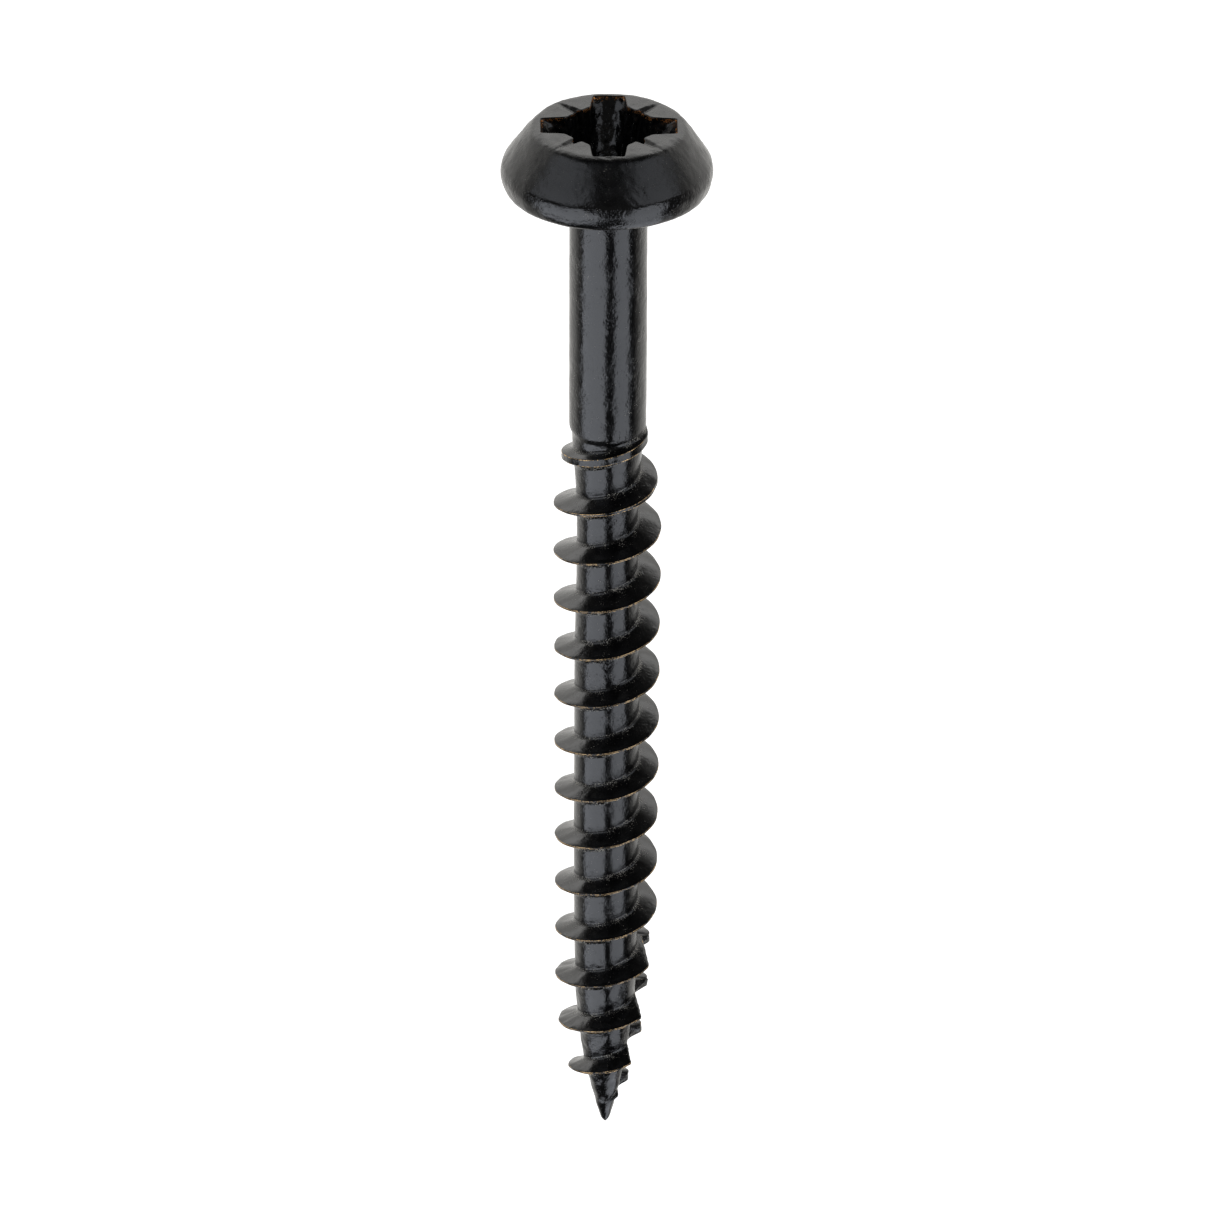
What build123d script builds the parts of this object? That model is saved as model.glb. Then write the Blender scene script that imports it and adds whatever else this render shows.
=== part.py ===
from build123d import *
import os
from math import cos, pi, radians, sin, sqrt, tan

# Pan-head wood screw, nominal 4.0 x 40 mm, with a Pozidriv-type cross recess, a plain shank, a
# single right-hand thread and a cutting notch in its point. The real screw is one piece of
# steel, so its regions meet face to face and never move against each other.
#
# Frame: the origin is on the screw's axis, in the bearing plane under the head. +Z runs up out
# of the head, the point is at -Z, and +X is the side with the cutting notch. Lengths are in mm,
# and a depth is measured down from the bearing plane.

# Overall
LENGTH = 39.4
SHANK_RADIUS = 1.41
CORE_RADIUS = 1.20

# Head
UNDER_HEAD_FILLET = 0.20
HEAD_STUB_LENGTH = 0.60
HEAD_BEARING_RADIUS = 3.55
HEAD_BEARING_FILLET = 0.25
HEAD_RIM_RADIUS = 3.87
HEAD_RIM_HEIGHT = 0.72
HEAD_RIM_FILLET = 0.35
HEAD_SHOULDER_RADIUS = 3.05
HEAD_SHOULDER_HEIGHT = 1.90
HEAD_SHOULDER_FILLET = 0.60
HEAD_TOP_RADIUS = 2.80
HEAD_TOP_EDGE_HEIGHT = 2.38
HEAD_TOP_FILLET = 0.22
HEAD_HEIGHT = 2.43

# Recess: four wings, an eight-sided middle, a narrow rib groove between each pair of wings
# and, outside each rib groove, a tick that runs out over the top of the head
WING_WIDTH = 1.20
WING_MOUTH_RADIUS = 2.45
WING_FLOOR_RADIUS = 2.28
WING_FLOOR_HEIGHT = 0.55
RECESS_FLOOR_HEIGHT = 0.10
RECESS_MIDDLE_APOTHEM = 1.55
RECESS_MIDDLE_TAPER = 6.0
RIB_GROOVE_WIDTH = 0.40
RIB_GROOVE_RADIUS = 1.75
TICK_BAR_SIDE = 0.35
TICK_RADIUS = 2.70
TICK_SLOPE = 11.0

# Shank, neck and point
SHANK_END = 9.6
NECK_LENGTH = 2.0
POINT_START = 32.9
POINT_HALF_ANGLE = 15.0
POINT_ARC_RADIUS = 17.8

# Thread
PITCH = 2.0
THREAD_START = 9.7
THREAD_FULL = 12.9
THREAD_END = 38.4
THREAD_START_RADIUS = 1.52
THREAD_RADIUS = 1.98
THREAD_RADIUS_LOSS = 0.0045
THREAD_CLOSING_START = 32.8
THREAD_CLOSING_LENGTH = 6.0
THREAD_FADE_START = 37.7
CREST_WIDTH = 0.10
CREST_WIDTH_AT_START = 0.40
FLANK_ANGLE = 20.0
LEAST_RIDGE = 0.03
FULL_THREAD_ANGLE = 180.0
POINTS_PER_TURN = 24

# Cutting notch: a V along the point, turned a little about the axis and deeper at the tip
NOTCH_TOP = 31.3
NOTCH_TOP_RADIUS = 1.50
NOTCH_SLOPE = 0.157
NOTCH_FLOOR_ANGLE = -95.0
NOTCH_WALL_ANGLE = 22.0
NOTCH_TURN = 18.0
NOTCH_REACH = 5.0

# Worked out: the ogive of the point ends in a cone, and the cone in a small ball
POINT_SLOPE = tan(radians(POINT_HALF_ANGLE))
CONE_START = POINT_START + POINT_ARC_RADIUS * sin(radians(POINT_HALF_ANGLE))
CONE_START_RADIUS = CORE_RADIUS - POINT_ARC_RADIUS * (1 - cos(radians(POINT_HALF_ANGLE)))
CONE_APEX = CONE_START + CONE_START_RADIUS / POINT_SLOPE
TIP_RADIUS = (CONE_APEX - LENGTH) / (1 / sin(radians(POINT_HALF_ANGLE)) - 1)


def lerp(low, high, share):
    return low + (high - low) * share


def core_radius(depth):
    """Radius of the steel under the thread."""
    if depth <= SHANK_END:
        return SHANK_RADIUS
    if depth <= SHANK_END + NECK_LENGTH:
        return lerp(SHANK_RADIUS, CORE_RADIUS, (depth - SHANK_END) / NECK_LENGTH)
    if depth <= POINT_START:
        return CORE_RADIUS
    if depth <= CONE_START:
        drawn_in = sqrt(POINT_ARC_RADIUS**2 - (depth - POINT_START) ** 2)
        return CORE_RADIUS - POINT_ARC_RADIUS + drawn_in
    return CONE_START_RADIUS - (depth - CONE_START) * POINT_SLOPE


def run_in(depth):
    """0 where the thread starts, 1 where it has its full height."""
    return min(1.0, (depth - THREAD_START) / (THREAD_FULL - THREAD_START))


def crest_radius(depth):
    """Radius of the thread's crest: it rises over the run-in and closes over the point."""
    full = THREAD_RADIUS - THREAD_RADIUS_LOSS * max(0.0, depth - THREAD_FULL)
    radius = lerp(THREAD_START_RADIUS, full, run_in(depth))
    if depth > THREAD_CLOSING_START:
        share = (depth - THREAD_CLOSING_START) / THREAD_CLOSING_LENGTH
        radius = full * sqrt(1 - share**2)
    if depth > THREAD_FADE_START:
        fade = (depth - THREAD_FADE_START) / (THREAD_END - THREAD_FADE_START)
        radius = lerp(radius, core_radius(depth), fade)
    return max(radius, core_radius(depth) + LEAST_RIDGE)


def on_helix(radius, depth, turn):
    """A point at this radius and depth, in the direction that the ridge faces after a turn."""
    angle = radians(FULL_THREAD_ANGLE) - 2 * pi * turn
    return Vector(radius * cos(angle), radius * sin(angle), -depth)


def ridge_section(turn):
    """The ridge's corners: upper root, upper crest, lower crest, lower root."""
    depth = THREAD_FULL + PITCH * turn
    crest = crest_radius(depth)
    half_crest = lerp(CREST_WIDTH_AT_START, CREST_WIDTH, run_in(depth)) / 2
    half_root = half_crest + (crest - core_radius(depth)) * tan(radians(FLANK_ANGLE))
    upper, lower = depth - half_root, depth + half_root
    return [
        on_helix(core_radius(upper), upper, turn),
        on_helix(crest, depth - half_crest, turn),
        on_helix(crest, depth + half_crest, turn),
        on_helix(core_radius(lower), lower, turn),
    ]


def ridge_edges(first, last):
    """The ridge's four helical edges over a stretch of the thread."""
    steps = round((last - first) * POINTS_PER_TURN)
    shares = [i / steps for i in range(steps + 1)]
    sections = [ridge_section(lerp(first, last, share)) for share in shares]
    return [Edge.make_spline(list(line), parameters=shares) for line in zip(*sections)]


def make_thread():
    """The helical ridge, wound turn by turn and closed by a flat face at each end."""
    first = (THREAD_START - THREAD_FULL) / PITCH
    last = (THREAD_END - THREAD_FULL) / PITCH
    count = round(last - first)
    joints = [lerp(first, last, i / count) for i in range(count + 1)]
    faces = [Face(Wire.make_polygon(ridge_section(end), close=True)) for end in (first, last)]
    for start, end in zip(joints, joints[1:]):
        edges = ridge_edges(start, end)
        for edge, neighbour in zip(edges, edges[1:] + edges[:1]):
            faces.append(Face.make_surface_from_curves(edge, neighbour))
    return Solid(Shell(faces)) - notch_cutter()


def revolved(outline):
    """A solid of revolution about Z, from a closed outline whose points are (radius, z)."""
    return revolve(Plane.XZ * make_face(outline), Axis.Z)


def head_blank():
    """The head and the first stub of the shank, before the recess is punched."""
    corners = {
        (0, -HEAD_STUB_LENGTH): 0,
        (SHANK_RADIUS, -HEAD_STUB_LENGTH): 0,
        (SHANK_RADIUS, 0): UNDER_HEAD_FILLET,
        (HEAD_BEARING_RADIUS, 0): HEAD_BEARING_FILLET,
        (HEAD_RIM_RADIUS, HEAD_RIM_HEIGHT): HEAD_RIM_FILLET,
        (HEAD_SHOULDER_RADIUS, HEAD_SHOULDER_HEIGHT): HEAD_SHOULDER_FILLET,
        (HEAD_TOP_RADIUS, HEAD_TOP_EDGE_HEIGHT): HEAD_TOP_FILLET,
        (0, HEAD_HEIGHT): 0,
    }
    return revolved(FilletPolyline(*corners, radius=corners.values(), close=True))


def recess_punch():
    """The punch that forms the recess, as one solid standing in the head."""
    top = 2 * HEAD_HEIGHT
    outline = Polyline(
        (0, RECESS_FLOOR_HEIGHT),
        (WING_FLOOR_RADIUS, WING_FLOOR_HEIGHT),
        (WING_MOUTH_RADIUS, HEAD_HEIGHT),
        (WING_MOUTH_RADIUS, top),
        (0, top),
        close=True,
    )
    middle = RegularPolygon(RECESS_MIDDLE_APOTHEM, 8, major_radius=False, rotation=22.5)
    bars = extrude(Pos(0, 0, HEAD_HEIGHT) * middle, -HEAD_HEIGHT, taper=RECESS_MIDDLE_TAPER)
    for angle in (0, 90):
        bars += Rot(0, 0, angle) * Box(2 * top, WING_WIDTH, 2 * top)
    for angle in (45, 135):
        bars += Rot(0, 0, angle) * Box(2 * RIB_GROOVE_RADIUS, RIB_GROOVE_WIDTH, 2 * top)
    return revolved(outline) & bars


def tick_cutter():
    """A square bar lying on its edge: it cuts a V that deepens from the rim to the recess."""
    outer_end_only = (Align.MAX, Align.CENTER, Align.CENTER)
    bar = Rot(45, 0, 0) * Box(TICK_RADIUS, TICK_BAR_SIDE, TICK_BAR_SIDE, align=outer_end_only)
    standing_on_edge = Pos(0, 0, TICK_BAR_SIDE / sqrt(2)) * bar
    return Pos(TICK_RADIUS, 0, HEAD_TOP_EDGE_HEIGHT) * Rot(0, -TICK_SLOPE, 0) * standing_on_edge


def make_head():
    head = head_blank() - recess_punch()
    for angle in range(45, 360, 90):
        head -= Rot(0, 0, angle) * tick_cutter()
    return head


def make_shank():
    corners = [
        (0, -SHANK_END),
        (SHANK_RADIUS, -SHANK_END),
        (SHANK_RADIUS, -HEAD_STUB_LENGTH),
        (0, -HEAD_STUB_LENGTH),
    ]
    return revolved(Polyline(*corners, close=True))


def notch_cutter():
    """A wedge with a flat floor facing +X and a steep wall, from the notch's top past the tip."""
    corners = [(NOTCH_TOP_RADIUS, 0)]
    for angle in (NOTCH_FLOOR_ANGLE, NOTCH_WALL_ANGLE):
        across = NOTCH_REACH * sin(radians(angle))
        outwards = NOTCH_TOP_RADIUS + NOTCH_REACH * cos(radians(angle))
        corners.append((outwards, across))
    face = Pos(0, 0, -NOTCH_TOP) * make_face(Polyline(*corners, close=True))
    return Rot(0, 0, NOTCH_TURN) * extrude(face, LENGTH - NOTCH_TOP, dir=(-NOTCH_SLOPE, 0, -1))


def make_threaded_core():
    """The necked-down shank that carries the thread, as far as the point."""
    corners = [
        (0, -SHANK_END),
        (SHANK_RADIUS, -SHANK_END),
        (CORE_RADIUS, -SHANK_END - NECK_LENGTH),
        (CORE_RADIUS, -POINT_START),
        (0, -POINT_START),
    ]
    return revolved(Polyline(*corners, close=True)) - notch_cutter()


def make_point():
    """The ogive, cone and blunt tip below the straight core."""
    half_angle = radians(POINT_HALF_ANGLE)
    ogive_middle = lerp(POINT_START, CONE_START, 0.5)
    ball_centre = LENGTH - TIP_RADIUS
    cone_end = (TIP_RADIUS * cos(half_angle), -ball_centre - TIP_RADIUS * sin(half_angle))
    ball_angle = (pi / 2 + half_angle) / 2
    ball_middle = (TIP_RADIUS * cos(ball_angle), -ball_centre - TIP_RADIUS * sin(ball_angle))
    cone_start = (CONE_START_RADIUS, -CONE_START)
    outline = [
        Line((0, -POINT_START), (CORE_RADIUS, -POINT_START)),
        ThreePointArc(
            (CORE_RADIUS, -POINT_START),
            (core_radius(ogive_middle), -ogive_middle),
            cone_start,
        ),
        Line(cone_start, cone_end),
        ThreePointArc(cone_end, ball_middle, (0, -LENGTH)),
        Line((0, -LENGTH), (0, -POINT_START)),
    ]
    return revolved(outline) - notch_cutter()


SUB_PARTS = {
    "head": make_head,
    "shank": make_shank,
    "threaded_core": make_threaded_core,
    "thread": make_thread,
    "point": make_point,
}

os.makedirs("parts", exist_ok=True)
for name, make in SUB_PARTS.items():
    export_step(make(), f"parts/{name}.step")
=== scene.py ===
from math import cos, pi, radians, sin, tan

import bpy
import numpy as np
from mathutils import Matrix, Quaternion, Vector


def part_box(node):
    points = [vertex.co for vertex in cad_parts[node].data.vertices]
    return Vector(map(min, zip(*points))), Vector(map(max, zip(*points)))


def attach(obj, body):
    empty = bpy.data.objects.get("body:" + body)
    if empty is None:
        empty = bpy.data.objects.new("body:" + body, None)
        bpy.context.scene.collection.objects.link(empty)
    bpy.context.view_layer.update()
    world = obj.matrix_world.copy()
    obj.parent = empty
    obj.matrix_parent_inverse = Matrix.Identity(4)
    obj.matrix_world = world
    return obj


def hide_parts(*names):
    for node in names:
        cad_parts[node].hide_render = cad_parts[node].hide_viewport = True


# A black-lacquered pan-head wood screw, in metres, in the CAD's frame: the origin is on the axis
# in the bearing plane under the head, the head is at +Z, the point at -Z, and +X is the side of
# the cutting notch. A depth is measured down from the bearing plane.

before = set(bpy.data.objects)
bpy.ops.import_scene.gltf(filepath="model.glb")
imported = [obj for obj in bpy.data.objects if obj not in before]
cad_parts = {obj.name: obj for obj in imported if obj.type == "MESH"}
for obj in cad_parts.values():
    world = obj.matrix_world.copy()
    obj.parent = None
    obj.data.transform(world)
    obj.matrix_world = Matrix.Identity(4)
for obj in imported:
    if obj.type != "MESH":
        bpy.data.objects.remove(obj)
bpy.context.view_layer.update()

MM = 0.001
UM = 0.000001

# Taken from the frame
HEAD_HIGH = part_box("head")[1]
SHANK_LOW, SHANK_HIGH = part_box("shank")
THREAD_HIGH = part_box("thread")[1]
POINT_LOW, POINT_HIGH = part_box("point")
RIM_RADIUS = HEAD_HIGH.y
HEAD_TOP = HEAD_HIGH.z
SHANK_RADIUS = SHANK_HIGH.y
STUB_DEPTH = -SHANK_HIGH.z
NECK_DEPTH = -SHANK_LOW.z
CORE_RADIUS = POINT_HIGH.y
POINT_DEPTH = -POINT_HIGH.z
TIP_DEPTH = -POINT_LOW.z
THREAD_RADIUS = THREAD_HIGH.y

# Recess
WING_REACH = 2.44 * MM
WING_HALF_WIDTH = 0.57 * MM
WING_ROOT_HALF_WIDTH = 0.66 * MM
MIDDLE_APOTHEM = 1.56 * MM
RIB_GROOVE_REACH = 1.74 * MM
RIB_GROOVE_HALF_WIDTH = 0.20 * MM
RIB_GROOVE_END_HALF_WIDTH = 0.11 * MM
RECESS_FLOOR = 0.12 * MM
RECESS_FLOOR_SLOPE = 0.19
WING_SLOPE = tan(radians(26.5))
SIDE_SLOPE = 0.03
MIDDLE_SLOPE = 0.12
WING_END_PIPE = 0.26 * MM
LIP_RADIUS = 0.05 * MM
TICK_START = 1.60 * MM
TICK_END = 2.72 * MM
TICK_DEPTH = 0.13 * MM
TICK_HALF_WIDTH_SHARE = 1.6
TICK_EDGE = 0.04 * MM
TOP_RING = 2.66 * MM
RIM_HEIGHT = 0.68 * MM
RIM_OFFSET = -0.06 * MM
OFFSET_EASING = 0.2 * MM

# Steps of the recess's outline, from a wing's middle to a rib groove's, and rings of the head
OCTANT_STEPS = (12, 14, 8, 5, 3)
FLOOR_RINGS = 9
WALL_RINGS = 24
TOP_RINGS = 20
FIRST_SIDE_RING = 8
SIDE_RING_STEP = 10
LIP_ROW = FLOOR_RINGS + WALL_RINGS
LIP_WEAR = 0.84

# Thread
PITCH = 2.0 * MM
THREAD_START = 9.8 * MM
THREAD_FULL = 12.9 * MM
RISE_LENGTH = 0.25 * MM
THREAD_END = 38.4 * MM
THREAD_START_RADIUS = 1.52 * MM
THREAD_RADIUS_LOSS = 0.0045
CLOSING_START = 32.83 * MM
CLOSING_LENGTH = 6.0 * MM
FADE_START = 37.7 * MM
LEAST_HEIGHT = 0.01 * MM
CREST_WIDTH = 0.085 * MM
CREST_WIDTH_AT_START = 0.38 * MM
CREST_CORNER = 0.025 * MM
CREST_WOBBLE = 7 * UM
CREST_DIP = 0.012 * MM
FLANK_ANGLE = radians(20)
UPPER_FILLET = 0.15 * MM
UPPER_FILLET_AT_START = 0.22 * MM
LOWER_FILLET = 0.34 * MM
ROOT_TUCK = 0.035 * MM
WEAR_START = THREAD_START + 0.1 * MM
WEAR_END = FADE_START
CUT_RIM_WIDTH = 0.06 * MM
FLANK_DULLNESS = 0.3
STEPS_PER_TURN = 180
STEPS_PER_TURN_IN_NOTCH = 300

# Cutting notch: a flat floor that faces +X and a steep wall behind it
NOTCH_DEPTH = 31.0 * MM
NOTCH_FLOOR_TURN = radians(16)
NOTCH_WALL_TURN = radians(-50)
NOTCH_WALL_SHARE = 0.376
NOTCH_SOFTNESS = 0.04 * MM
NOTCH_BESIDE = 3 * MM
NOTCH_FAR_OUT = 50 * MM
LEAST_SLANT = 0.05
RIDGE_TUCK = 0.012 * MM
RIDGE_END_SOFTNESS = 0.10 * MM
BURR_ABOVE = 0.07 * MM
BURR_BELOW = 0.22 * MM
BURR_TURN = radians(20)
STUB_CORNER_TURN = radians(9)
STUB_CORNER_DROP = 0.22

# Columns round the screw: one per degree on the notch's side, fewer on the rest
NOTCH_SIDE_FROM_DEGREES = -75
NOTCH_SIDE_TO_DEGREES = 50
COARSE_COLUMNS = 117

# Lumps that the lacquer has run into on the notched end
DRIPS_START = 30.5 * MM
DRIPS_FULL = 34.0 * MM


# ---------------------------------------------------------------- numbers and curves


def lerp(low, high, share):
    return low + (high - low) * share


def smooth_step(low, high, value):
    share = np.clip((value - low) / (high - low), 0, 1)
    return share * share * (3 - 2 * share)


def smooth_min(a, b, softness):
    share = np.clip(0.5 + 0.5 * (b - a) / softness, 0, 1)
    return lerp(b, a, share) - softness * share * (1 - share)


def smooth_curve(knots, count):
    """Evenly spaced points along a smooth curve through the knots."""
    knots = np.array(knots, float)
    gaps = np.linalg.norm(np.diff(knots, axis=0), axis=1)
    along = np.concatenate([[0], np.cumsum(gaps)])
    slopes = np.diff(knots, axis=0) / gaps[:, None]
    weight = (gaps[1:] / (gaps[1:] + gaps[:-1]))[:, None]
    tangents = np.vstack([slopes[:1], lerp(slopes[1:], slopes[:-1], weight), slopes[-1:]])
    places = np.linspace(0, along[-1], count)
    span = np.clip(np.searchsorted(along, places, side="right") - 1, 0, len(gaps) - 1)
    gap = gaps[span][:, None]
    t = (places - along[span])[:, None] / gap
    start, end = knots[span], knots[span + 1]
    bend = t * (1 - t)
    ease = t * t * (3 - 2 * t)
    turn_in = bend * (1 - t) * gap * tangents[span]
    turn_out = bend * t * gap * tangents[span + 1]
    return lerp(start, end, ease) + turn_in - turn_out


def lumps(points, size, seed, waves=28):
    """A smooth random field of about unit strength, with features of about this size."""
    random = np.random.default_rng(seed)
    directions = random.normal(size=(waves, 3))
    directions /= np.linalg.norm(directions, axis=1)[:, None]
    waviness = 2 * pi / size * random.uniform(0.6, 1.3, waves)
    phases = random.uniform(0, 2 * pi, waves)
    flat = points.reshape(-1, 3)
    field = np.sin(flat @ (directions * waviness[:, None]).T + phases).sum(1)
    return (field * np.sqrt(2 / waves)).reshape(points.shape[:-1])


# ---------------------------------------------------------------- meshes


def grid_normals(rings):
    """Outward normals of a grid of rings, each of which closes on itself."""
    around = np.roll(rings, -1, axis=1) - np.roll(rings, 1, axis=1)
    along = np.gradient(rings, axis=0)
    normals = np.cross(around, along)
    return normals / np.maximum(np.linalg.norm(normals, axis=2), 1e-15)[..., None]


def swell(rings, amount):
    """The same rings, moved out along their normals."""
    return rings + grid_normals(rings) * amount[..., None]


def skin(name, rings, masks, sharp_rows=()):
    """A closed mesh over a stack of rings, with a fan at each end. masks: name to grid."""
    rows, columns = rings.shape[:2]
    index = np.arange(rows * columns).reshape(rows, columns)
    after = np.roll(index, -1, axis=1)
    quads = np.stack([index[:-1], after[:-1], after[1:], index[1:]], axis=-1).reshape(-1, 4)
    first, last = rows * columns, rows * columns + 1
    start_fan = np.stack([after[0], index[0], np.full(columns, first)], axis=-1)
    end_fan = np.stack([index[-1], after[-1], np.full(columns, last)], axis=-1)
    centres = np.stack([rings[0].mean(0), rings[-1].mean(0)])
    vertices = np.vstack([rings.reshape(-1, 3), centres])
    faces = quads.tolist() + start_fan.tolist() + end_fan.tolist()
    mesh = bpy.data.meshes.new(name)
    mesh.from_pydata(vertices.tolist(), [], faces)
    mesh.polygons.foreach_set("use_smooth", np.ones(len(mesh.polygons), bool))
    sharp = np.zeros(len(vertices), int)
    for number, row in enumerate(sharp_rows, start=1):
        sharp[index[row]] = number
    ends = np.zeros(len(mesh.edges) * 2, int)
    mesh.edges.foreach_get("vertices", ends)
    marks = sharp[ends.reshape(-1, 2)]
    same_row = (marks[:, 0] > 0) & (marks[:, 0] == marks[:, 1])
    mesh.edges.foreach_set("use_edge_sharp", same_row)
    for mask_name, grid in masks.items():
        values = np.concatenate([grid.ravel(), [grid[0].mean(), grid[-1].mean()]])
        attribute = mesh.attributes.new(mask_name, "FLOAT", "POINT")
        attribute.data.foreach_set("value", values.astype(np.float32))
    piece = bpy.data.objects.new(name, mesh)
    bpy.context.scene.collection.objects.link(piece)
    return piece


def on_axis_rings(radii, depths, angles):
    """Points from radii, depths and angles that broadcast to (rings, columns)."""
    radii, depths, angles = np.broadcast_arrays(radii, depths, angles)
    return np.stack([radii * np.cos(angles), radii * np.sin(angles), -depths], axis=-1)


def place(piece, nodes, material):
    """Puts a finished piece on the part's one body, in the stead of its CAD nodes."""
    piece.data.materials.append(material)
    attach(piece, "root")
    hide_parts(*nodes)


# ---------------------------------------------------------------- the screw's outline

CORE_PROFILE = smooth_curve(
    [
        (STUB_DEPTH, SHANK_RADIUS),
        (NECK_DEPTH - 0.5 * MM, SHANK_RADIUS),
        (NECK_DEPTH - 0.1 * MM, SHANK_RADIUS - 0.002 * MM),
        (NECK_DEPTH + 0.05 * MM, 1.398 * MM),
        (NECK_DEPTH + 0.35 * MM, 1.31 * MM),
        (NECK_DEPTH + 0.48 * MM, 1.298 * MM),
        (NECK_DEPTH + 0.7 * MM, 1.29 * MM),
        (NECK_DEPTH + 1.1 * MM, 1.26 * MM),
        (NECK_DEPTH + 2.0 * MM, CORE_RADIUS),
        (20.0 * MM, CORE_RADIUS),
        (30.0 * MM, 1.19 * MM),
        (32.3 * MM, 1.16 * MM),
        (34.1 * MM, 1.08 * MM),
        (35.7 * MM, 0.92 * MM),
        (37.0 * MM, 0.72 * MM),
        (38.1 * MM, 0.46 * MM),
        (38.9 * MM, 0.26 * MM),
        (39.25 * MM, 0.14 * MM),
        (TIP_DEPTH, 0.03 * MM),
    ],
    2000,
)


def core_radius(depth):
    """Radius of the steel under the thread."""
    return np.interp(depth, CORE_PROFILE[:, 0], CORE_PROFILE[:, 1])


def run_in(depth):
    """0 where the thread starts, 1 where it has its full height."""
    return np.clip((depth - THREAD_START) / (THREAD_FULL - THREAD_START), 0, 1)


def crest_radius(depth):
    full = THREAD_RADIUS - THREAD_RADIUS_LOSS * np.maximum(0, depth - THREAD_FULL)
    risen = smooth_step(THREAD_START, THREAD_START + RISE_LENGTH, depth)
    rising = lerp(THREAD_START_RADIUS, full, run_in(depth))
    rising = lerp(core_radius(depth) + LEAST_HEIGHT, rising, risen)
    share = np.clip((depth - CLOSING_START) / CLOSING_LENGTH, 0, 0.999)
    closing = full * np.sqrt(1 - share**2)
    radius = np.where(depth > CLOSING_START, closing, rising)
    fade = np.clip((depth - FADE_START) / (THREAD_END - FADE_START), 0, 1)
    return lerp(radius, core_radius(depth) + LEAST_HEIGHT, fade)


NOTCH_PROFILE = smooth_curve(
    [
        (30.3 * MM, 2.90 * MM),
        (30.8 * MM, 1.98 * MM),
        (31.3 * MM, 1.55 * MM),
        (31.9 * MM, 1.36 * MM),
        (34.0 * MM, 0.99 * MM),
        (36.1 * MM, 0.64 * MM),
        (37.2 * MM, 0.50 * MM),
        (38.0 * MM, 0.41 * MM),
        (TIP_DEPTH, 0.22 * MM),
    ],
    600,
)


def notch_floor(depth):
    """Distance from the axis to the plane of the notch's floor."""
    return np.interp(depth, NOTCH_PROFILE[:, 0], NOTCH_PROFILE[:, 1], left=NOTCH_BESIDE)


def notch_radius(angle, depth):
    """Radius of the notch's floor or wall in a direction, and far out beside the notch."""
    floor = notch_floor(depth)
    walls = []
    for turn, distance in ((NOTCH_FLOOR_TURN, floor), (NOTCH_WALL_TURN, floor * NOTCH_WALL_SHARE)):
        slant = np.cos(angle - turn)
        radius = distance / np.maximum(slant, LEAST_SLANT)
        walls.append(np.where(slant > LEAST_SLANT, radius, NOTCH_FAR_OUT))
    return -smooth_min(-walls[0], -walls[1], NOTCH_SOFTNESS)


# ---------------------------------------------------------------- head

HEAD_PROFILE = smooth_curve(
    [
        (0.0, HEAD_TOP),
        (1.4 * MM, HEAD_TOP),
        (2.2 * MM, HEAD_TOP - 0.005 * MM),
        (2.55 * MM, HEAD_TOP - 0.02 * MM),
        (2.74 * MM, HEAD_TOP - 0.07 * MM),
        (2.86 * MM, 2.23 * MM),
        (2.97 * MM, 2.09 * MM),
        (3.05 * MM, 1.99 * MM),
        (3.26 * MM, 1.69 * MM),
        (3.47 * MM, 1.39 * MM),
        (3.67 * MM, 1.10 * MM),
        (3.76 * MM, 0.95 * MM),
        (3.80 * MM, 0.80 * MM),
        (RIM_RADIUS, 0.68 * MM),
        (3.81 * MM, 0.54 * MM),
        (3.78 * MM, 0.38 * MM),
        (3.73 * MM, 0.19 * MM),
        (3.67 * MM, 0.07 * MM),
        (3.58 * MM, 0.005 * MM),
        (3.42 * MM, 0.0),
        (2.20 * MM, 0.0),
        (SHANK_RADIUS + 0.18 * MM, -0.01 * MM),
        (SHANK_RADIUS + 0.05 * MM, -0.06 * MM),
        (SHANK_RADIUS, -0.20 * MM),
        (SHANK_RADIUS, -STUB_DEPTH),
    ],
    1400,
)


def octant_outline(depth):
    """The recess's outline at a depth below its mouth, from a wing's middle to a rib groove's."""
    reach = WING_REACH - WING_SLOPE * depth
    half_width = WING_HALF_WIDTH - SIDE_SLOPE * depth
    root_half_width = WING_ROOT_HALF_WIDTH - SIDE_SLOPE * depth
    apothem = MIDDLE_APOTHEM - MIDDLE_SLOPE * depth
    root = apothem * np.sqrt(2) - root_half_width
    middle = apothem / np.sqrt(2)
    groove = (RIB_GROOVE_REACH - MIDDLE_SLOPE * depth) / np.sqrt(2)
    half = RIB_GROOVE_HALF_WIDTH / np.sqrt(2)
    half_end = RIB_GROOVE_END_HALF_WIDTH / np.sqrt(2)
    corners = [
        (reach, 0.0),
        (reach, half_width),
        (root, root_half_width),
        (middle + half, middle - half),
        (groove + half_end, groove - half_end),
        (groove, groove),
    ]
    points = []
    for start, end, count in zip(corners, corners[1:], OCTANT_STEPS):
        shares = np.linspace(0, 1, count, endpoint=False)[:, None]
        points.append(lerp(np.array(start), np.array(end), shares))
    octant = np.vstack(points + [[corners[-1]]])
    pipe = WING_END_PIPE * smooth_step(0, WING_END_PIPE, depth)
    corner, side = OCTANT_STEPS[:2]
    octant[: corner + 1, 0] -= pipe * np.linspace(0, 1, corner + 1) ** 3
    octant[corner + 1 : corner + side, 0] -= pipe * np.linspace(1, 0, side)[1:]
    return octant


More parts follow.
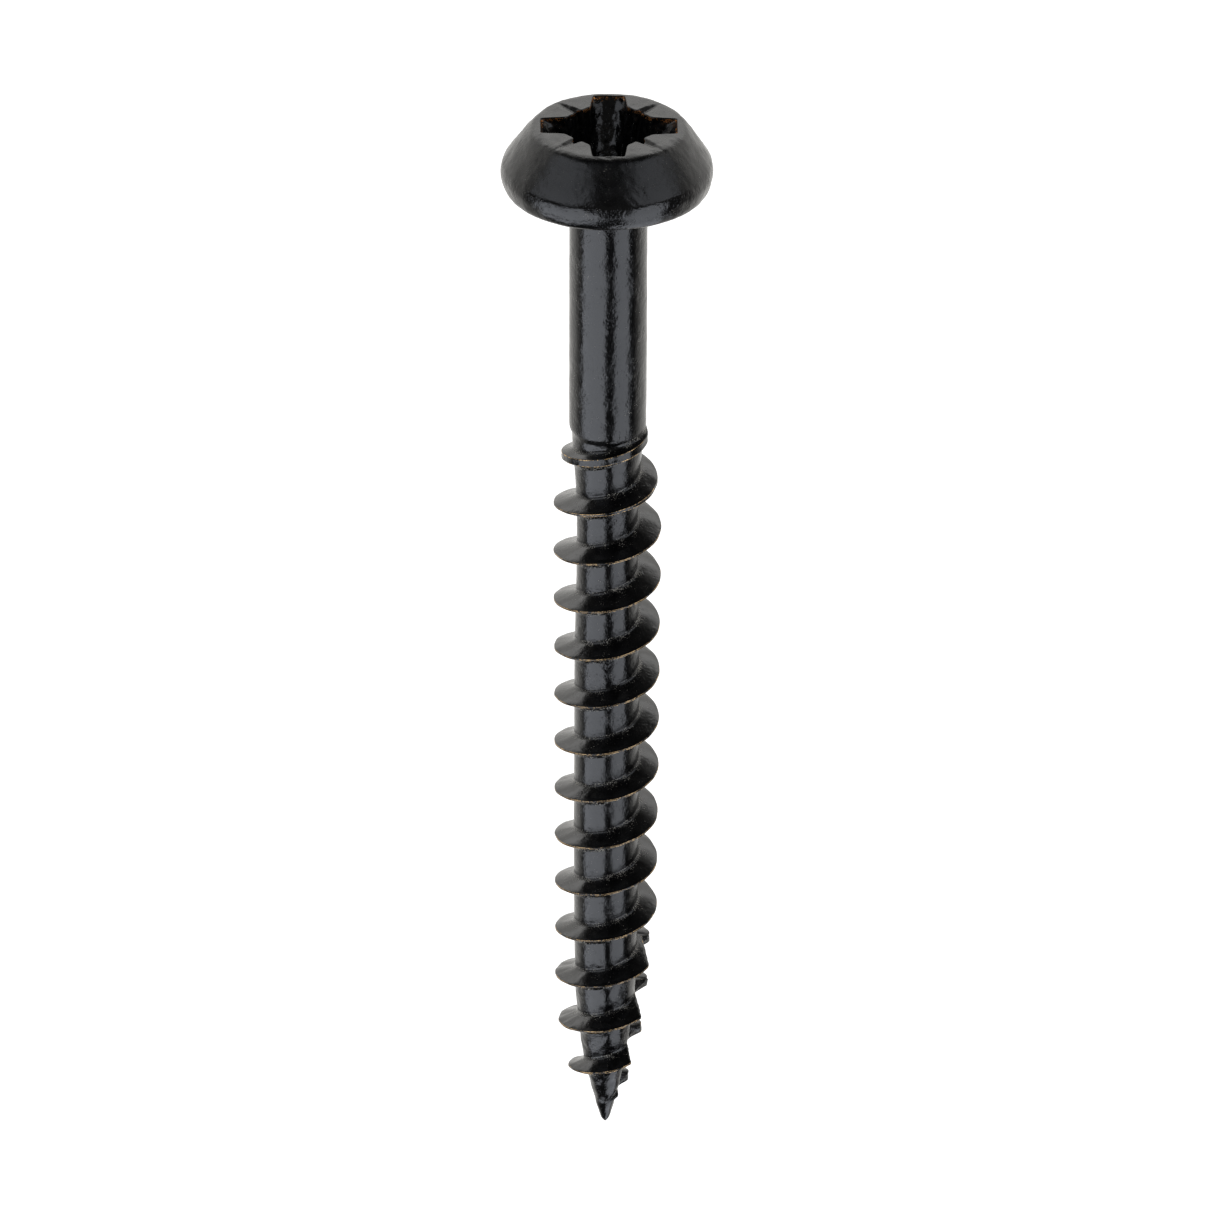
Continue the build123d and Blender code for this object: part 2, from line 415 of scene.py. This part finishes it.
def recess_outline(depth):
    """The whole outline of the recess, its corners eased by the lacquer."""
    octant = octant_outline(depth)
    mirrored = octant[-2:0:-1, ::-1]
    quarter = np.vstack([octant, mirrored])
    quarters = []
    for angle in np.radians([0, 90, 180, 270]):
        turn = np.array([[cos(angle), sin(angle)], [-sin(angle), cos(angle)]])
        quarters.append(quarter @ turn)
    loop = np.vstack(quarters)
    for _ in range(2):
        loop = 0.25 * np.roll(loop, 1, axis=0) + 0.5 * loop + 0.25 * np.roll(loop, -1, axis=0)
    return loop


def head_height(radius):
    """Height of the head's top at a radius, out to its rim."""
    rim = np.argmax(HEAD_PROFILE[:, 0])
    return np.interp(radius, HEAD_PROFILE[:rim, 0], HEAD_PROFILE[:rim, 1])


def tick_groove(plan):
    """Depth of the four ticks on the diagonals, at points of the head's top."""
    radius = np.linalg.norm(plan, axis=-1)
    across = np.abs(np.abs(plan[..., 0]) - np.abs(plan[..., 1])) / np.sqrt(2)
    share = np.clip((TICK_END - radius) / (TICK_END - TICK_START), 0, 1)
    depth = TICK_DEPTH * share**0.8
    half_width = TICK_HALF_WIDTH_SHARE * depth + TICK_EDGE
    return depth * (1 - smooth_step(0, 1, across / half_width))


def with_height(plan, height):
    return np.concatenate([plan, height[..., None]], axis=-1)


def plan_radius(plan):
    return np.linalg.norm(plan, axis=1)


def lip_outline(mouth):
    """The outline of the recess's mouth moved out by the lip's rounding, and the way it moves."""
    forward = np.roll(mouth, -1, axis=0) - np.roll(mouth, 1, axis=0)
    outward = np.stack([forward[:, 1], -forward[:, 0]], axis=-1)
    outward /= plan_radius(outward)[:, None]
    return mouth + outward * LIP_RADIUS, outward


def floor_rings(floor):
    rings = []
    for share in np.linspace(0.04, 0.94, FLOOR_RINGS):
        plan = floor * share
        rings.append(with_height(plan, RECESS_FLOOR + RECESS_FLOOR_SLOPE * plan_radius(plan)))
    return rings


def wall_rings(floor_height, mouth_height):
    rings = []
    for share in np.linspace(0.04, 1, WALL_RINGS):
        plan = recess_outline((HEAD_TOP - RECESS_FLOOR) * (1 - share))
        rings.append(with_height(plan, lerp(floor_height, mouth_height, share)))
    return rings


def lip_rings(mouth, outward, mouth_height):
    rings = []
    for angle in np.radians([22, 45, 68, 90]):
        plan = mouth + outward * LIP_RADIUS * (1 - cos(angle))
        rings.append(with_height(plan, mouth_height + LIP_RADIUS * sin(angle)))
    return rings


def top_rings(lip_plan, direction):
    rings = []
    for share in np.linspace(0, 1, TOP_RINGS)[1:]:
        plan = lerp(lip_plan, direction * TOP_RING, share)
        rings.append(with_height(plan, head_height(plan_radius(plan)) - tick_groove(plan)))
    return rings


def side_rings(direction):
    """Rings from the top's edge over the rim and the underside to the stub of shank."""
    start = np.searchsorted(HEAD_PROFILE[:, 0], TOP_RING)
    outside = np.vstack([HEAD_PROFILE[start + FIRST_SIDE_RING :: SIDE_RING_STEP], HEAD_PROFILE[-1:]])
    return [
        with_height(direction * radius, np.full(len(direction), height))
        for radius, height in outside
    ]


def head_rings():
    """Rings from the recess's floor up its walls, over the lip and the head to the stub."""
    mouth = recess_outline(0)
    lip_plan, outward = lip_outline(mouth)
    mouth_height = head_height(plan_radius(lip_plan)) - tick_groove(lip_plan)
    mouth_height = mouth_height - LIP_RADIUS
    floor = recess_outline(HEAD_TOP - RECESS_FLOOR)
    floor_height = RECESS_FLOOR + RECESS_FLOOR_SLOPE * plan_radius(floor)
    direction = lip_plan / plan_radius(lip_plan)[:, None]
    rings = floor_rings(floor) + wall_rings(floor_height, mouth_height)
    rings += lip_rings(mouth, outward, mouth_height)
    rings += top_rings(lip_plan, direction) + side_rings(direction)
    return np.stack(rings)


def off_centre(rings):
    """The head sits a little off the shank's axis, less towards its top and not at its stub."""
    height = rings[..., 2]
    share = smooth_step(-OFFSET_EASING, 0, height) * (1 - smooth_step(RIM_HEIGHT, HEAD_TOP, height))
    rings[..., 0] += RIM_OFFSET * share
    return rings


def make_head(material):
    rings = off_centre(head_rings())
    row = np.arange(len(rings))[:, None]
    inside = 1 - smooth_step(LIP_ROW - 4, LIP_ROW, row)
    lumpy = 5 * UM * lumps(rings, 0.9 * MM, 11) + 2 * UM * lumps(rings, 0.3 * MM, 12)
    rings = swell(rings, lumpy + inside * 9 * UM * lumps(rings, 0.28 * MM, 13))
    near_lip = LIP_WEAR * smooth_step(LIP_ROW - 6, LIP_ROW - 1, row) * (row < LIP_ROW + 1)
    dull = smooth_step(0.9 * MM, 1.5 * MM, rings[..., 2]) * (row > LIP_ROW)
    everywhere = np.ones(rings.shape[:2])
    masks = {"wear": near_lip * everywhere, "copper": (row < LIP_ROW + 3) * everywhere, "dull": dull}
    place(skin("head", rings, masks, sharp_rows=(-1,)), ["head"], material)


# ---------------------------------------------------------------- shank, core and point


def column_angles():
    """Directions round the screw, closer together at the notch."""
    start, end = NOTCH_SIDE_FROM_DEGREES, NOTCH_SIDE_TO_DEGREES
    fine = np.arange(start, end, 1.0)
    coarse = np.linspace(end, start + 360, COARSE_COLUMNS + 1)[:-1]
    return np.radians(np.concatenate([fine, coarse]))


def coated(rings):
    """The lacquer's slow unevenness on shank, core, thread and point, lumpier where it is notched."""
    amount = 2.0 * UM * lumps(rings, 1.3 * MM, 21) + 1.0 * UM * lumps(rings, 0.45 * MM, 22)
    notched = smooth_step(DRIPS_START, DRIPS_FULL, -rings[..., 2])
    drips = 9 * UM * lumps(rings, 0.8 * MM, 23) + 2.5 * UM * lumps(rings, 0.3 * MM, 24)
    return swell(rings, amount + notched * drips)


def turned_piece(name, depths, material):
    """A stretch of the shank, core or point, with the cutting notch in it."""
    angles = column_angles()[None, :]
    depths = depths[:, None]
    radii = smooth_min(core_radius(depths), notch_radius(angles, depths), NOTCH_SOFTNESS)
    rings = coated(on_axis_rings(radii, depths, angles))
    nothing = np.zeros(rings.shape[:2])
    piece = skin(name, rings, {"wear": nothing}, sharp_rows=(0, -1))
    place(piece, [name], material)


def make_shank(material):
    turned_piece("shank", np.linspace(STUB_DEPTH, NECK_DEPTH, 110), material)


def make_threaded_core(material):
    turned_piece("threaded_core", np.linspace(NECK_DEPTH, POINT_DEPTH, 330), material)


def make_point(material):
    turned_piece("point", np.linspace(POINT_DEPTH, TIP_DEPTH, 150), material)


# ---------------------------------------------------------------- thread


def half_section(core, crest, half_crest, root_fillet):
    """Half the ridge, crest middle to foot: offsets along the axis and radii, (points, stations)."""
    height = crest - core
    fillet = np.minimum(root_fillet, 0.8 * height)
    corner = np.minimum(CREST_CORNER, 0.3 * height)
    flat = half_crest - corner
    points = [(0 * flat, crest - np.minimum(CREST_DIP, 0.2 * height)), (0.6 * flat, crest)]
    for angle in np.linspace(pi / 2, FLANK_ANGLE, 3):
        points.append((flat + corner * cos(angle), crest - corner * (1 - sin(angle))))
    top_offset, top_radius = points[-1]
    bottom_radius = core + fillet * (1 - sin(FLANK_ANGLE))
    bottom_offset = top_offset + (top_radius - bottom_radius) * tan(FLANK_ANGLE)
    for share in (0.25, 0.5, 0.75):
        points.append(
            (lerp(top_offset, bottom_offset, share), lerp(top_radius, bottom_radius, share))
        )
    centre = bottom_offset + fillet * cos(FLANK_ANGLE)
    for angle in np.linspace(pi + FLANK_ANGLE, 1.5 * pi, 6):
        points.append((centre + fillet * cos(angle), core + fillet * (1 + sin(angle))))
    points.append((centre + 0.5 * fillet, core - ROOT_TUCK))
    return np.array(points)


def past_wall(depth):
    """How far round the screw the ridge's middle is past the notch's steep wall."""
    share = np.clip(NOTCH_WALL_SHARE * notch_floor(depth) / crest_radius(depth), 0, 1)
    return (helix_direction(depth) - NOTCH_WALL_TURN - np.arccos(share)) % (2 * pi)


def burr(depth):
    """1 where the cutter came out through the ridge and left a lacquered burr, 0 away from it."""
    return (1 - smooth_step(0, BURR_TURN, past_wall(depth))) * (depth > NOTCH_DEPTH)


def stub_corner(depth):
    """Share of the ridge's height that is rounded away at its corner on the notch's wall."""
    share = np.clip(1 - past_wall(depth) / STUB_CORNER_TURN, 0, 1)
    return STUB_CORNER_DROP * (1 - np.sqrt(1 - share**2)) * (depth > NOTCH_DEPTH)


def ridge_sections(depth):
    """The ridge's closed sections at these depths: offsets and radii, (stations, points)."""
    wobble = lumps(np.stack([0 * depth, 0 * depth, depth * 14], axis=-1), 1.6 * MM, 31)
    core = core_radius(depth)
    crest = lerp(crest_radius(depth), core, stub_corner(depth)) + CREST_WOBBLE * wobble
    half_crest = lerp(CREST_WIDTH_AT_START, CREST_WIDTH, run_in(depth)) / 2
    upper_crest = half_crest + BURR_ABOVE * burr(depth)
    lower_crest = half_crest + BURR_BELOW * burr(depth)
    upper_fillet = lerp(UPPER_FILLET_AT_START, UPPER_FILLET, run_in(depth))
    upper = half_section(core, crest, upper_crest, upper_fillet).transpose(1, 2, 0)
    lower = half_section(core, crest, lower_crest, LOWER_FILLET).transpose(1, 2, 0)
    offsets = np.concatenate([-upper[0, :, :0:-1], lower[0]], axis=1)
    radii = np.concatenate([upper[1, :, :0:-1], lower[1]], axis=1)
    core = core_radius(depth)[:, None]
    share = np.clip((crest[:, None] - radii) / (crest[:, None] - core), 0, 1)
    return offsets, radii + share * (core_radius(depth[:, None] + offsets) - core)


def helix_direction(depth):
    """The direction that the ridge's middle faces at a depth."""
    return pi - 2 * pi * (depth - THREAD_FULL) / PITCH


def thread_depths():
    """Depths of the ridge's sections, closer together where the notch interrupts it."""
    above = np.arange(THREAD_START, NOTCH_DEPTH, PITCH / STEPS_PER_TURN)
    below = np.arange(NOTCH_DEPTH, THREAD_END, PITCH / STEPS_PER_TURN_IN_NOTCH)
    return np.concatenate([above, below])


def thread_masks(depth, depths, radii, cut):
    """Wear on the crest's edges and the cut rims, dust near the roots, a duller upper flank."""
    middle = radii.shape[1] // 2
    place_in_section = np.abs(np.arange(radii.shape[1]) - middle)
    crest_edge = np.exp(-(((place_in_section - 2.5) / 1.6) ** 2))
    intact = smooth_step(-0.05 * MM, 0.02 * MM, cut - radii)
    cut_rim = np.exp(-(((cut - radii) / CUT_RIM_WIDTH) ** 2))
    wear = np.maximum(crest_edge[None, :] * intact, 0.9 * cut_rim)
    wear = wear * (1 - smooth_step(WEAR_END - 0.9 * MM, WEAR_END, depths))
    wear = wear * smooth_step(WEAR_START, WEAR_START + 0.2 * MM, depth)[:, None]
    dust = smooth_step(6, 9, place_in_section)[None, :] * intact
    upper_flank = np.arange(radii.shape[1]) < middle - 2
    dull = FLANK_DULLNESS * upper_flank[None, :] * np.ones(wear.shape)
    return {"wear": wear[:, ::-1], "dust": dust[:, ::-1], "dull": dull[:, ::-1]}


def make_thread(material):
    depth = thread_depths()
    offsets, radii = ridge_sections(depth)
    angles = helix_direction(depth)[:, None]
    depths = depth[:, None] + offsets
    cut = notch_radius(angles, depths) - RIDGE_TUCK
    rings = on_axis_rings(smooth_min(radii, cut, RIDGE_END_SOFTNESS), depths, angles)
    rings = coated(rings)
    masks = thread_masks(depth, depths, radii, cut)
    place(skin("thread", rings[:, ::-1], masks), ["thread"], material)


# ---------------------------------------------------------------- material


class Nodes:
    """Short calls for building one material's nodes."""

    def __init__(self, material):
        material.use_nodes = True
        self.tree = material.node_tree
        self.tree.nodes.clear()

    def add(self, kind, inputs=None, **settings):
        node = self.tree.nodes.new(kind)
        for key, value in settings.items():
            setattr(node, key, value)
        for key, value in (inputs or {}).items():
            self.set(node.inputs[key], value)
        return node

    def set(self, socket, value):
        if isinstance(value, bpy.types.NodeSocket):
            self.tree.links.new(value, socket)
        else:
            socket.default_value = value

    def noise(self, coordinates, size, detail=2.0, roughness=0.5):
        settings = {"Scale": 1 / size, "Detail": detail, "Roughness": roughness}
        settings["Vector"] = coordinates
        return self.add("ShaderNodeTexNoise", settings).outputs["Fac"]

    def maths(self, operation, a, b=0.0):
        node = self.add("ShaderNodeMath", operation=operation)
        self.set(node.inputs[0], a)
        self.set(node.inputs[1], b)
        return node.outputs[0]

    def add_up(self, first, *scaled):
        """The first value plus each (value, factor) product after it."""
        total = first
        for value, factor in scaled:
            total = self.maths("ADD", total, self.maths("MULTIPLY", value, factor))
        return total

    def attribute(self, name):
        return self.add("ShaderNodeAttribute", attribute_name=name).outputs["Fac"]

    def ramp(self, value, low, high, to_low=0.0, to_high=1.0):
        inputs = {"Value": value, "From Min": low, "From Max": high}
        inputs |= {"To Min": to_low, "To Max": to_high}
        return self.add("ShaderNodeMapRange", inputs).outputs["Result"]

    def mix(self, factor, a, b):
        node = self.add("ShaderNodeMix", data_type="RGBA")
        self.set(node.inputs["Factor"], factor)
        self.set(node.inputs["A"], a)
        self.set(node.inputs["B"], b)
        return node.outputs["Result"]


LACQUER = (0.0022, 0.0022, 0.0024, 1)
BARE_ZINC = (0.62, 0.42, 0.21, 1)
BARE_COPPER = (0.62, 0.27, 0.09, 1)
DUST = (0.30, 0.28, 0.24, 1)
LACQUER_IOR = 1.52
PATCH_SIZE = 0.45 * MM
GRAIN_SIZE = 0.07 * MM
SPECK_SIZE = 0.05 * MM
PEEL_SIZE = 0.15 * MM
WAVE_SIZE = 0.42 * MM
PIT_SIZE = 0.09 * MM
RIPPLE_SIZE = 0.8 * MM
BUMP_DEPTH = 17 * UM


def bare_metal(nodes, patches, grains):
    """1 where the lacquer is worn through, on the edges that the wear mask marks."""
    ragged = nodes.maths("MULTIPLY", nodes.maths("ADD", patches, grains), 0.9)
    return nodes.ramp(nodes.maths("ADD", nodes.attribute("wear"), ragged), 1.70, 1.84)


def dust_specks(nodes, where, patches):
    """Pale specks, a few everywhere and more in the thread's roots."""
    specks = nodes.noise(where, SPECK_SIZE, 2.0, 0.6)
    coverage = nodes.maths("ADD", nodes.maths("MULTIPLY", nodes.attribute("dust"), 0.10), 0.28)
    spots = nodes.add_up(coverage, (specks, 0.6), (patches, 0.4))
    return nodes.ramp(spots, 0.92, 0.98, 0.0, 0.8)


def lacquer_roughness(nodes, patches, dusty, bare):
    gloss = nodes.ramp(patches, 0.35, 0.7, 0.10, 0.20)
    rough = nodes.add_up(gloss, (nodes.attribute("dull"), 0.13))
    rough = nodes.maths("MAXIMUM", rough, nodes.maths("MULTIPLY", dusty, 0.8))
    return nodes.maths("MAXIMUM", rough, nodes.maths("MULTIPLY", bare, 0.35))


def lacquer_normal(nodes, where, grains):
    """Orange peel, slow waves, grain and pits, in patches and gentler where the coat is dull."""
    peel = nodes.noise(where, PEEL_SIZE, 3.0, 0.55)
    waves = nodes.noise(where, WAVE_SIZE, 1.0)
    pits = nodes.ramp(nodes.noise(where, PIT_SIZE, 1.0), 0.56, 0.74)
    height = nodes.add_up(peel, (waves, 1.6), (grains, 0.30), (pits, -0.35))
    rippled = nodes.ramp(nodes.noise(where, RIPPLE_SIZE, 2.0), 0.38, 0.62, 0.35, 1.0)
    gentler = nodes.ramp(nodes.attribute("dull"), 0.0, 0.3, 1.0, 0.55)
    inputs = {"Height": height, "Strength": nodes.maths("MULTIPLY", rippled, gentler)}
    inputs["Distance"] = BUMP_DEPTH
    return nodes.add("ShaderNodeBump", inputs).outputs["Normal"]


def lacquer_material():
    """Glossy black baked lacquer, worn to bare zinc at edges and to copper colour in the recess."""
    material = bpy.data.materials.new("black_lacquer")
    nodes = Nodes(material)
    where = nodes.add("ShaderNodeTexCoord").outputs["Object"]
    patches = nodes.noise(where, PATCH_SIZE, 3.0, 0.7)
    grains = nodes.noise(where, GRAIN_SIZE, 3.0, 0.7)
    bare = bare_metal(nodes, patches, grains)
    dusty = dust_specks(nodes, where, patches)
    metal = nodes.mix(nodes.attribute("copper"), BARE_ZINC, BARE_COPPER)
    colour = nodes.mix(bare, nodes.mix(dusty, LACQUER, DUST), metal)
    inputs = {"Base Color": colour, "Metallic": bare, "IOR": LACQUER_IOR}
    inputs["Roughness"] = lacquer_roughness(nodes, patches, dusty, bare)
    inputs["Normal"] = lacquer_normal(nodes, where, grains)
    shader = nodes.add("ShaderNodeBsdfPrincipled", inputs)
    output = nodes.add("ShaderNodeOutputMaterial")
    nodes.tree.links.new(shader.outputs[0], output.inputs["Surface"])
    return material


# ---------------------------------------------------------------- stage, light and camera

TARGET = Vector((0, 0, -17.28 * MM))
CAMERA_DISTANCE = 373.4 * MM
CAMERA_ELEVATION = radians(28.92)
CAMERA_ROLL = radians(0.22)
CAMERA_LENS = 301.6
FLOOR_DROP = 0.25
STAGE_RADIUS = 1.4
LAMP_DISTANCE = 0.45
COOL = (0.88, 0.92, 1.0)


def pale_material():
    material = bpy.data.materials.new("pale_floor")
    nodes = Nodes(material)
    inputs = {"Base Color": (0.9, 0.9, 0.9, 1), "Roughness": 0.9}
    inputs |= {"Emission Color": (1, 1, 1, 1), "Emission Strength": 1.0}
    shader = nodes.add("ShaderNodeBsdfPrincipled", inputs)
    output = nodes.add("ShaderNodeOutputMaterial")
    nodes.tree.links.new(shader.outputs[0], output.inputs["Surface"])
    return material


def make_stage():
    """A pale floor that sweeps up into a dome. Only the camera sees it."""
    floor = POINT_LOW.z - FLOOR_DROP
    angles = np.linspace(0, 2 * pi, 96, endpoint=False)[None, :]
    wall = np.linspace(0, pi / 2 * 0.98, 24)
    radii = np.concatenate([[0.01, 0.5], STAGE_RADIUS * np.cos(wall)])[:, None]
    depths = -floor - np.concatenate([[0, 0], STAGE_RADIUS * np.sin(wall)])[:, None]
    rings = on_axis_rings(radii, depths, angles)
    stage = skin("floor_and_backdrop", rings, {})
    stage.data.materials.append(pale_material())
    stage.visible_glossy = False
    stage.visible_diffuse = False
    stage.visible_shadow = False


def softbox(name, azimuth, elevation, size, radiance, colour=(1, 1, 1)):
    """A rectangular soft light at a bearing from the camera's side, facing the screw."""
    light = bpy.data.lights.new(name, "AREA")
    light.shape = "RECTANGLE"
    light.size, light.size_y = size
    light.energy = radiance * pi * size[0] * size[1]
    light.color = colour
    lamp = bpy.data.objects.new(name, light)
    a, e = radians(azimuth), radians(elevation)
    towards = Vector((sin(a) * cos(e), -cos(a) * cos(e), sin(e)))
    lamp.location = TARGET + towards * LAMP_DISTANCE
    lamp.rotation_mode = "QUATERNION"
    lamp.rotation_quaternion = towards.to_track_quat("Z", "Y")
    lamp.visible_camera = False
    bpy.context.scene.collection.objects.link(lamp)


def make_world():
    """A pale room: light behind the screw, dim in front of it and overhead."""
    world = bpy.data.worlds.new("studio")
    bpy.context.scene.world = world
    nodes = Nodes(world)
    direction = nodes.add("ShaderNodeTexCoord").outputs["Generated"]
    parts = nodes.add("ShaderNodeSeparateXYZ", {"Vector": direction}).outputs
    front = nodes.ramp(parts["Z"], -0.3, 0.3, 0.03, 0.10)
    behind = nodes.maths("MAXIMUM", front, nodes.ramp(parts["Y"], -0.10, 0.42))
    overhead = nodes.ramp(parts["Z"], 0.55, 0.85, 1.0, 0.08)
    strength = nodes.maths("MULTIPLY", behind, overhead)
    shade = nodes.add("ShaderNodeBackground", {"Color": (1, 0.985, 0.95, 1), "Strength": strength})
    output = nodes.add("ShaderNodeOutputWorld")
    nodes.tree.links.new(shade.outputs[0], output.inputs["Surface"])


def make_lights():
    softbox("low_left", -44, -26, (0.58, 0.42), 2.45, colour=COOL)
    softbox("low_right", 43, -20, (0.34, 0.42), 2.1, colour=COOL)
    softbox("under_right", 58, -62, (0.30, 0.26), 2.0, colour=COOL)
    softbox("high_left", -60, 38, (0.40, 0.30), 0.95, colour=COOL)
    softbox("high_right", 62, 38, (0.36, 0.30), 0.85, colour=COOL)
    softbox("high_back", 180, 37, (0.70, 0.16), 0.9)


def make_camera():
    camera = bpy.data.objects.new("camera", bpy.data.cameras.new("camera"))
    bpy.context.scene.collection.objects.link(camera)
    camera.data.lens = CAMERA_LENS
    camera.data.clip_start, camera.data.clip_end = 0.01, 10
    back = Vector((0, -cos(CAMERA_ELEVATION), sin(CAMERA_ELEVATION)))
    camera.location = TARGET + back * CAMERA_DISTANCE
    camera.rotation_mode = "QUATERNION"
    roll = Quaternion((0, 0, 1), CAMERA_ROLL)
    camera.rotation_quaternion = back.to_track_quat("Z", "Y") @ roll
    bpy.context.scene.camera = camera


make_camera()
make_stage()
make_world()
make_lights()
bpy.context.scene.view_settings.view_transform = "Standard"
lacquer = lacquer_material()
make_head(lacquer)
make_shank(lacquer)
make_threaded_core(lacquer)
make_thread(lacquer)
make_point(lacquer)
